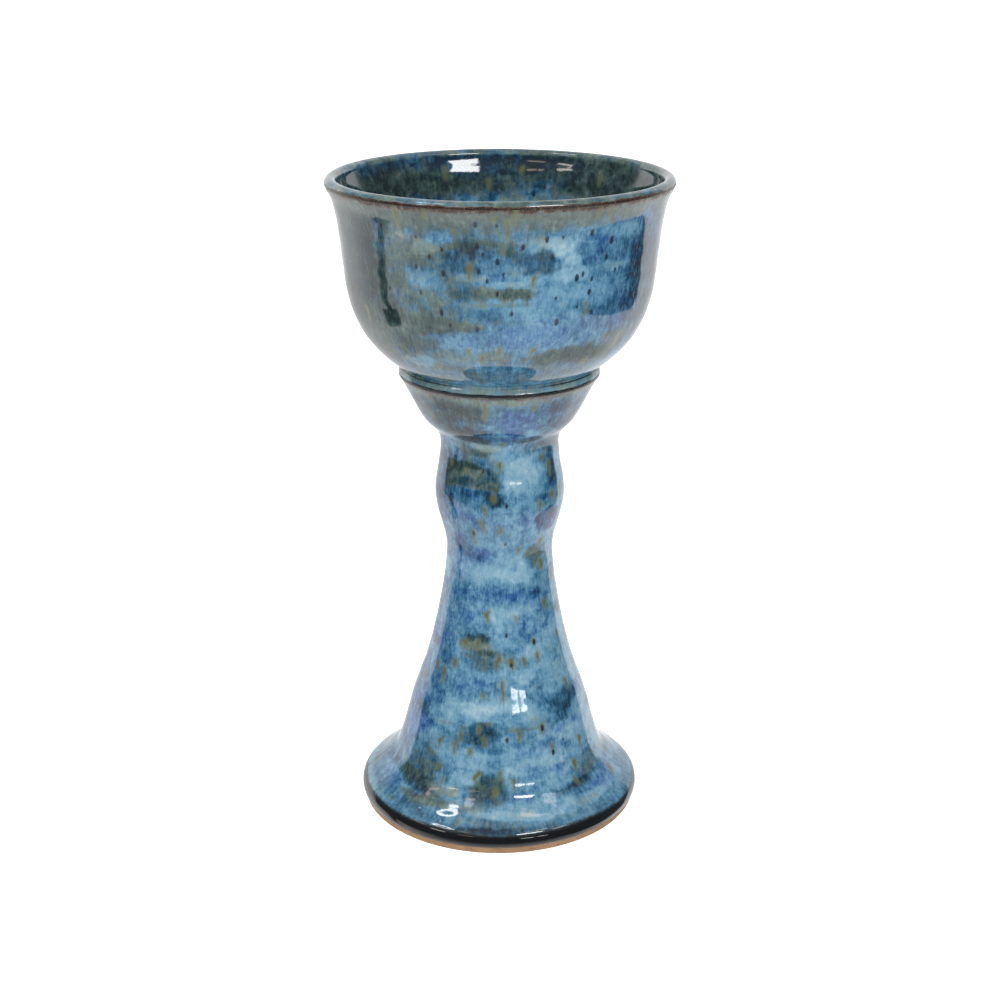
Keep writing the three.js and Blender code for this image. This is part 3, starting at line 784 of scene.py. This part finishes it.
def glaze_fields(ground, laid, thin, pool, seed, ragged):
    """What the glaze's material reads at each vertex."""
    washes, marks, runs, spots = laid
    depth, hue = tones(ground, washes, marks, seed, ragged)
    wander = noise(ground.flow * [0.2, 0.2, 0.5], seed + 60)
    return {
        "flow": ground.flow,
        "depth": depth,
        "hue": hue,
        "run": inside_runs(ground, runs, wander),
        "spot": inside_spots(ground, spots, wander),
        "thin": thin,
        "pool": pool,
    }


def sway(ground, features, seed):
    """Noise around the pot, the same all the way up: so many features to a millimetre."""
    return noise(ground.flow * [features, features, 0.0], seed)


def worn_rim(ground):
    """The brown line under the lip, where the glaze has run thin over the clay's iron. It wanders."""
    off = np.abs(ground.height - BREAK_Z - 0.12 * sway(ground, 0.25, 61)) - 0.18 * sway(ground, 1.3, 62)
    outside = ground.radius > LIP_R - 0.6 * LIP_HALF
    return (1 - ease(0.45, 1.0, off)) * outside


def worn_collar(ground):
    """The same at the collar's edge, where two coats meet over the joint."""
    down = JOIN_Z + 0.5 - 0.12 * sway(ground, 0.3, 63) - ground.height
    core = 1.0 - ease(0.6, 1.1, down)
    fade = 0.74 * (1.0 - ease(0.8, 3.2, down - 0.4 * sway(ground, 1.1, 64)))
    return ease(0.0, 0.25, down) * np.maximum(core, fade)


def bowl_glaze():
    ground = Ground(BOWL_SURFACE, 560)
    z = ground.height
    laid = layers(11, [
        (26, 74, 134, 174, [(12, 24), (4, 13), (0.35, 0.75), (-0.9, 0.8), (0.6, 0.9)]),
        (40, 86, 133, 173, [(3, 11), (1.2, 4), (0.2, 0.95), (-0.9, 0.9), (0.5, 0.9)]),
        (34, 56, 134, 177, [(0.4, 3.4), (0.2, 0.42)]),
        (90, 56, 134, 176, [(0.2, 0.48)]),
    ], (BOWL_WASHES, BOWL_MARKS, BOWL_RUNS, BOWL_SPOTS))
    thin = np.maximum.reduce([worn_rim(ground), 0.34 * ease(170, 177.5, z), worn_collar(ground)])
    pool = 0.62 * (bump(z, 128.95, 0.28) + bump(z, 129.7, 0.22))
    pool *= 0.3 + 0.7 * ease(14, 40, np.abs(ground.angle))
    pool += 0.85 * ease(JOIN_Z + 0.55, JOIN_Z + 0.25, z - 0.15 * sway(ground, 0.3, 63))
    fields = glaze_fields(ground, laid, thin, pool, 100, (0.8, 0.3))
    fields["hue"] -= 0.1
    grooves = -0.16 * bump(z, 128.95, 0.16) - 0.14 * bump(z, 129.5, 0.12) + 0.05 * bump(z, 129.2, 0.1)
    relief = throwing(ground.angle, z, 6.5, 0.03, 7) * ease(131, 136, z) * ease(177, 172, z)
    relief += undulation(ground, 3) + grooves
    relief = relief * seam(ground, JOIN_Z, BREAK_Z)
    piece = turned("cup_outer_glaze", ground, coat_back(BOWL_SURFACE), relief, fields, "bowl_glaze")
    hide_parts("bowl_glaze")


def liner_glaze():
    surface = LINER_SURFACE[::-1]
    ground = Ground(surface, 480)
    z = ground.height
    laid = layers(23, [
        (34, 0, 134, 178, [(12, 26), (4, 12), (0.35, 0.8), (-0.9, 0.6), (0.6, 0.9)]),
        (46, 0, 134, 176, [(3, 10), (1.5, 4.5), (0.1, 0.95), (-0.8, 0.9), (0.5, 0.9)]),
        (44, 0, 140, 177, [(0.4, 2.6), (0.2, 0.45)]),
        (80, 0, 136, 178, [(0.2, 0.5)]),
    ])
    upper, lower = ease(160, 171, z), ease(171, 164, z)
    crest = ease(HEIGHT - 2, HEIGHT - 1, z)
    fields = glaze_fields(ground, laid, worn_rim(ground), 0 * z, 300, (0.8, 0.3))
    fields["depth"] += 0.1 * upper - 0.3 * lower
    fields["hue"] += 0.2 * lower - 0.5 * upper
    fields["depth"] += (0.28 - fields["depth"]) * 0.8 * crest
    fields["hue"] += (-0.7 - fields["hue"]) * 0.7 * crest
    relief = throwing(ground.angle, z, 6.5, 0.07, 9) * ease(135, 140, z) * ease(176, 170, z)
    relief += undulation(ground, 4) * ease(0, 6, ground.radius)
    relief = relief * seam(ground, BREAK_Z)
    back = np.vstack([beside(surface[::5], GLAZE), [0.0, CUP_FLOOR_Z - GLAZE]])[::-1]
    piece = turned("cup_liner_glaze", ground, back, relief, fields, "liner_glaze")
    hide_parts("liner_glaze")


def stem_glaze():
    ground = Ground(STEM_SURFACE, 340)
    z = ground.height
    laid = layers(37, [
        (70, 70, 8, 125, [(6, 16), (2, 6), (0.2, 0.75), (-0.9, 0.8), (0.6, 0.9)]),
        (90, 70, 8, 125, [(1.5, 7), (0.9, 3.4), (0.05, 1.0), (-0.9, 0.9), (0.5, 0.95)]),
        (90, 62, 9, 124, [(0.4, 3.2), (0.25, 0.55)]),
        (22, 62, 9, 124, [(0.2, 0.42)]),
    ], (STEM_WASHES, STEM_MARKS, STEM_RUNS, STEM_SPOTS))
    thin = np.maximum(worn_collar(ground), 0.3 * ease(121, 126, z))
    edge = sway(ground, 0.12, 71) * 0.7
    pool = 1.2 * ease(6.9, 4.7, z + edge)
    line = sway(ground, 0.5, 72) * 0.25 - 0.35 * ease(10, 60, np.abs(ground.angle))
    pool += 0.8 * ease(JOIN_Z - 0.75, JOIN_Z - 0.35, z - line)
    fields = glaze_fields(ground, laid, thin, pool, 200, (0.5, 0.5))
    fields["hue"] += 0.06
    relief = throwing(ground.angle, z, 7.0, 0.03, 8) * ease(9, 16, z) * ease(125, 118, z)
    relief += undulation(ground, 5) * (1 - bump(z, 11.5, 4)) + blistered(ground, BLISTERS)
    relief = relief * seam(ground, JOIN_Z)
    piece = turned("stem_outer_glaze", ground, coat_back(STEM_SURFACE), relief, fields, "stem_glaze")
    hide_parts("stem_glaze")


def stem_clay():
    """The clay pedestal: bare foot ring and bare hollow."""
    foot = [(33.6, 0), (34.4, 0), (38, 0), (38.85, 0.06), (39.2, 0.4), (39.28, 1), (39.28, 2.6)]
    outer = beside(STEM_SURFACE[4::3], GLAZE + 0.02)
    hollow = beside(smooth([*SKIRT[1:], *KNOP, *COLLAR[:-1]], 2.0), GLAZE + WALL)
    hollow = hollow[hollow[:, 1] < JOIN_Z]
    surface = np.vstack([hollow[::-1], smooth([tuple(hollow[0]), (30.6, 6.4), (32.9, 1.6), (33.6, 0.1)], 1.0)[1:],
                         smooth(foot, 0.5)])
    outer = outer[(outer[:, 1] > 3.0) & (outer[:, 1] < JOIN_Z)]
    back = np.vstack([outer, [(26.4, JOIN_Z), (hollow[-1][0], JOIN_Z)]])
    ground = Ground(surface, 300)
    z = ground.height
    relief = throwing(ground.angle, z, 7.0, 0.12, 12) * ease(4, 14, z)
    lines = noise(np.column_stack([ground.along * 3.0, ground.angle / 60, z * 0]), 15)
    relief += 0.03 * lines * ease(0.02, 0.4, z)
    piece = turned("pedestal_clay", ground, back, relief, {}, "stoneware_clay")
    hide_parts("stem")


def bowl_clay():
    """The clay cup, which shows only from below, through the pedestal's hollow."""
    base_r = SLIP_R - 0.9
    under = smooth([(0, CUP_BASE_Z), (8, CUP_BASE_Z + 0.1), (base_r, CUP_BASE_Z)], 0.8)
    outer = beside(BOWL_SURFACE[10::5], GLAZE + 0.02)
    inner = beside(LINER_SURFACE[::5], -(GLAZE + 0.02))
    outer = outer[(outer[:, 1] > SLIP_TOP_Z) & (outer[:, 1] < BREAK_Z)]
    inner = inner[inner[:, 1] < HEIGHT - GLAZE - 0.05]
    inner[0, 0] = 0.0
    outline = np.vstack([under, (base_r, SLIP_TOP_Z), outer, inner[::-1]])
    ground = Ground(outline, 240)
    spiral = throwing(ground.angle, ground.radius, 3.0, 0.06, 14) * (ground.height < CUP_BASE_Z + 0.2)
    relief = spiral * ease(0, 4, ground.radius)
    piece = turned("cup_clay", ground, outline[:0], relief, {}, "stoneware_clay")
    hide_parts("bowl")


def slip_ring():
    """Luting slip, squeezed out to an uneven bead between collar and cup."""
    inner = SLIP_R - SLIP_WIDTH
    surface = smooth([(inner + 0.2, JOIN_Z), (SLIP_R - 0.5, JOIN_Z), (SLIP_R - 0.05, JOIN_Z + 0.2),
                      (SLIP_R - 0.2, SLIP_TOP_Z - 0.12), (SLIP_R - 0.8, SLIP_TOP_Z)], 0.25)
    back = np.array([(SLIP_R - 0.85, CUP_BASE_Z), (inner + 0.4, CUP_BASE_Z), (inner, JOIN_Z + 0.2)])
    ground = Ground(surface, 240)
    relief = 0.03 * noise(ground.flow * 0.5, 17) * ease(0.05, 0.2, ground.height - JOIN_Z)
    piece = turned("luting_slip", ground, back, relief, {}, "joining_slip")
    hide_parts("slip_ring")


# ---------------------------------------------------------------- camera, floor and light


CAMERA_PLACE = (0.0, -0.4568, 0.2503)
CAMERA_TILT = 19.415  # degrees below level
CAMERA_LENS = 62.48  # mm, on a sensor 36 mm wide
FLOOR_R = 6.0
FLOOR_Z = -0.00005


def camera():
    """A pinhole camera in front of the chalice, a little above its lip and looking down on it."""
    lens = bpy.data.cameras.new("camera")
    lens.sensor_width = 36.0
    lens.lens = CAMERA_LENS
    lens.clip_start = 0.01
    seen = linked("camera", lens)
    seen.location = CAMERA_PLACE
    seen.rotation_euler = (math.radians(90 - CAMERA_TILT), 0.0, 0.0)
    bpy.context.scene.camera = seen


def floor():
    """A wide plain pale floor, just under the foot. It isn't mirrored in the glaze: the world is."""
    mesh = bpy.data.meshes.new("floor")
    turns = [2 * math.pi * i / 96 for i in range(96)]
    mesh.from_pydata([(FLOOR_R * math.cos(t), FLOOR_R * math.sin(t), FLOOR_Z) for t in turns], [], [range(96)])
    made, nodes, shader = new_material("pale_floor")
    paper = nodes.noise(millimetres(nodes), (0.02, 0.02, 0.02), 3.0, 0.5)
    colour = nodes.mix(nodes.sum(0.5, (paper, 1.0)), srgb(248, 248, 248), srgb(252, 252, 252))
    nodes.feed(shader.inputs["Base Color"], colour)
    nodes.feed(shader.inputs["Emission Color"], colour)
    seen = nodes.add("LightPath").outputs["Is Camera Ray"]
    nodes.feed(shader.inputs["Emission Strength"], nodes.line(seen, 0.7, 0.12))
    shader.inputs["Roughness"].default_value = 1.0
    shader.inputs["Specular IOR Level"].default_value = 0.0
    mesh.materials.append(made)
    plane = linked("floor", mesh)
    plane.visible_glossy = False


# What the glaze mirrors, in degrees. Azimuth 0 is the front and turns towards +X.
# The edge of the white table, as (azimuth, elevation) from the left around to the left again.
TABLE_EDGE = [
    (-180, 60), (-150, 60), (-117, 0), (-116, -13), (-99, -14), (-97.6, -29), (-91.5, -29), (-90, -13),
    (-50, -15), (-20, -22), (20, -23), (52, -24), (70, -31), (97, -30.5), (112, -27), (123, -25), (125, -8),
    (150, 60), (180, 60),
]
# How bright the white is, by elevation from straight down, 0, to straight up, 1.
WHITE = [(0.0, 0.9), (0.14, 0.85), (0.25, 0.65), (0.36, 0.55), (0.5, 0.52), (1.0, 0.5)]
# Bright panes: (azimuth from, to, elevation from, to, brightness, warmth).
PANES = [
    (57, 74, 47, 53, 4, 0), (33, 66, 61, 66, 4, 0.5), (-48, -35, 56.5, 59, 5, 0.5), (-36, -22, 32, 35, 4, 0.5),
    (-62, -48, 32, 36, 8, 0.2), (-90, -74, 40, 43, 4, 0.5),
]
# A ring lamp: azimuth, elevation, half width, half height and brightness.
RING_AZIMUTH, RING_ELEVATION, RING_WIDE, RING_TALL, RING_BRIGHT = -72, 59, 15, 4.4, 16.0
# A window of small lamps, seen from a point on the skirt: (azimuth, elevation, width, height in metres).
WINDOW_FROM = (0.008, -0.021, 0.0365)
WINDOW_AWAY = 0.45
WINDOW_WATTS = 50  # a square metre
WINDOW = [
    (22.5, 11.7, 0.084, 0.014), (22.5, 13.7, 0.075, 0.009), (34.5, 11.8, 0.07, 0.014),
    (33.5, 13.6, 0.03, 0.006),
]


def world():
    """A white tent: bright walls at the sides and behind, a white table below, and darkness in front,
    where the tent opens, cut by a few bright panes. Only the glaze sees it: the camera sees plain white."""
    made = bpy.data.worlds.new("tent")
    made.use_nodes = True
    bpy.context.scene.world = made
    nodes = Nodes(made.node_tree)
    parts = nodes.add("SeparateXYZ")
    nodes.feed(parts.inputs[0], nodes.add("TexCoord").outputs["Generated"])
    x, y, z = parts.outputs
    azimuth = nodes.times(nodes.math("ARCTAN2", x, nodes.times(y, -1.0)), 180 / math.pi)
    elevation = nodes.times(nodes.math("ARCSINE", z), 180 / math.pi)

    def grey(value):
        return (value, value, value, 1.0)

    def band(value, low, high, soft):
        """1 between low and high, and 0 outside."""
        return nodes.times(nodes.step(value, low - soft, low + soft), nodes.step(value, high + soft, high - soft))

    def window(left, right, low, high):
        return nodes.times(band(azimuth, left, right, 0.5), band(elevation, low, high, 0.4))

    # The ramp's greys run from 0 for -90 degrees to 1 for +90.
    edge = [((at + 180) / 360, grey((up + 90) / 180)) for at, up in TABLE_EDGE]
    edge = nodes.line(nodes.ramp(nodes.line(azimuth, 1 / 360, 0.5), edge), 180.0, -90.0)
    above = nodes.math("SUBTRACT", elevation, edge)
    softness = nodes.line(nodes.step(elevation, -12, 6), 14.0, 0.8)
    dark = nodes.step(nodes.math("DIVIDE", above, softness), -1.0, 1.0)
    white = nodes.ramp(nodes.line(elevation, 1 / 180, 0.5), [(at, grey(value)) for at, value in WHITE])
    turned_away = nodes.math("ABSOLUTE", azimuth)
    sides = nodes.times(nodes.step(turned_away, 62, 86), nodes.step(turned_away, 155, 125))
    sides = nodes.times(sides, nodes.step(elevation, -50, -34))
    white = nodes.times(white, nodes.line(sides, 1.1, 2.0))
    near_edge = nodes.times(nodes.step(turned_away, 62, 44), nodes.step(elevation, -40, -32))
    white = nodes.times(white, nodes.line(near_edge, -0.5, 1.0))
    gloom = nodes.line(nodes.step(elevation, 20, 60), 0.45, 0.18)
    light = nodes.sum(0.0, (white, nodes.rest(dark)), (gloom, dark))

    below_gap = nodes.rest(window(-104, -88, -34, -28))
    light = nodes.times(light, nodes.math("MAXIMUM", below_gap, 0.12))
    left_wall = nodes.times(nodes.step(azimuth, -97, -101), nodes.step(elevation, -12, -16))
    light = nodes.times(light, nodes.line(left_wall, -0.14, 1.0))
    warm = 0.0
    for left, right, low, high, brightness, warmth in PANES:
        pane = window(left, right, low, high)
        light = nodes.line(pane, brightness, light)
        warm = nodes.line(pane, brightness * warmth, warm)
    across = nodes.line(azimuth, 1 / RING_WIDE, -RING_AZIMUTH / RING_WIDE)
    up = nodes.line(elevation, 1 / RING_TALL, -RING_ELEVATION / RING_TALL)
    reach = nodes.math("SQRT", nodes.sum(nodes.times(across, across), (nodes.times(up, up), 1.0)))
    ring = nodes.times(nodes.step(reach, 0.55, 0.68), nodes.step(reach, 1.1, 1.0))
    light = nodes.line(ring, RING_BRIGHT, light)
    tint = nodes.add("CombineColor")
    nodes.feed(tint.inputs[0], light)
    nodes.feed(tint.inputs[1], nodes.math("SUBTRACT", light, nodes.times(warm, 0.55)))
    nodes.feed(tint.inputs[2], nodes.math("SUBTRACT", light, nodes.times(warm, 0.8)))
    shown = nodes.add("Background")
    nodes.feed(shown.inputs["Color"], tint.outputs[0])
    plain = nodes.add("Background")
    plain.inputs["Color"].default_value = grey(1.0)
    chosen = nodes.add("MixShader")
    nodes.feed(chosen.inputs[0], nodes.add("LightPath").outputs["Is Camera Ray"])
    made.node_tree.links.new(shown.outputs[0], chosen.inputs[1])
    made.node_tree.links.new(plain.outputs[0], chosen.inputs[2])
    out = nodes.add("OutputWorld")
    made.node_tree.links.new(chosen.outputs[0], out.inputs["Surface"])


def soft_light(name, place, size, power, target=(0, 0, 0.1), mirrored=False):
    """A lamp that only lights the chalice, or one that is only mirrored in its glaze."""
    lamp = bpy.data.lights.new(name, "AREA")
    lamp.shape = "RECTANGLE"
    lamp.size, lamp.size_y = size
    lamp.energy = power
    made = linked(name, lamp)
    made.location = place
    aim = linked(name + "_aim", None)
    aim.location = target
    look = made.constraints.new("TRACK_TO")
    look.target, look.track_axis, look.up_axis = aim, "TRACK_NEGATIVE_Z", "UP_Y"
    made.visible_camera = False
    made.visible_glossy = mirrored
    made.visible_diffuse = not mirrored


camera()
floor()
world()
soft_light("fill_front", (0.1, -1.0, 0.95), (1.2, 0.9), 9.0)
soft_light("panel", (0.2, -0.325, 0.483), (0.17, 0.13), 1.3, (0, 0, 0.55), mirrored=True)
for number, (turn, rise, width, tall) in enumerate(WINDOW):
    turn, rise = math.radians(turn), math.radians(rise)
    towards = (math.cos(rise) * math.sin(turn), -math.cos(rise) * math.cos(turn), math.sin(rise))
    place = [start + WINDOW_AWAY * step for start, step in zip(WINDOW_FROM, towards)]
    power = WINDOW_WATTS * width * tall
    soft_light("window_%d" % number, place, (width, tall), power, WINDOW_FROM, mirrored=True)
bpy.context.scene.view_settings.view_transform = "Standard"

bowl_clay()
slip_ring()
stem_clay()
stem_glaze()
bowl_glaze()
liner_glaze()
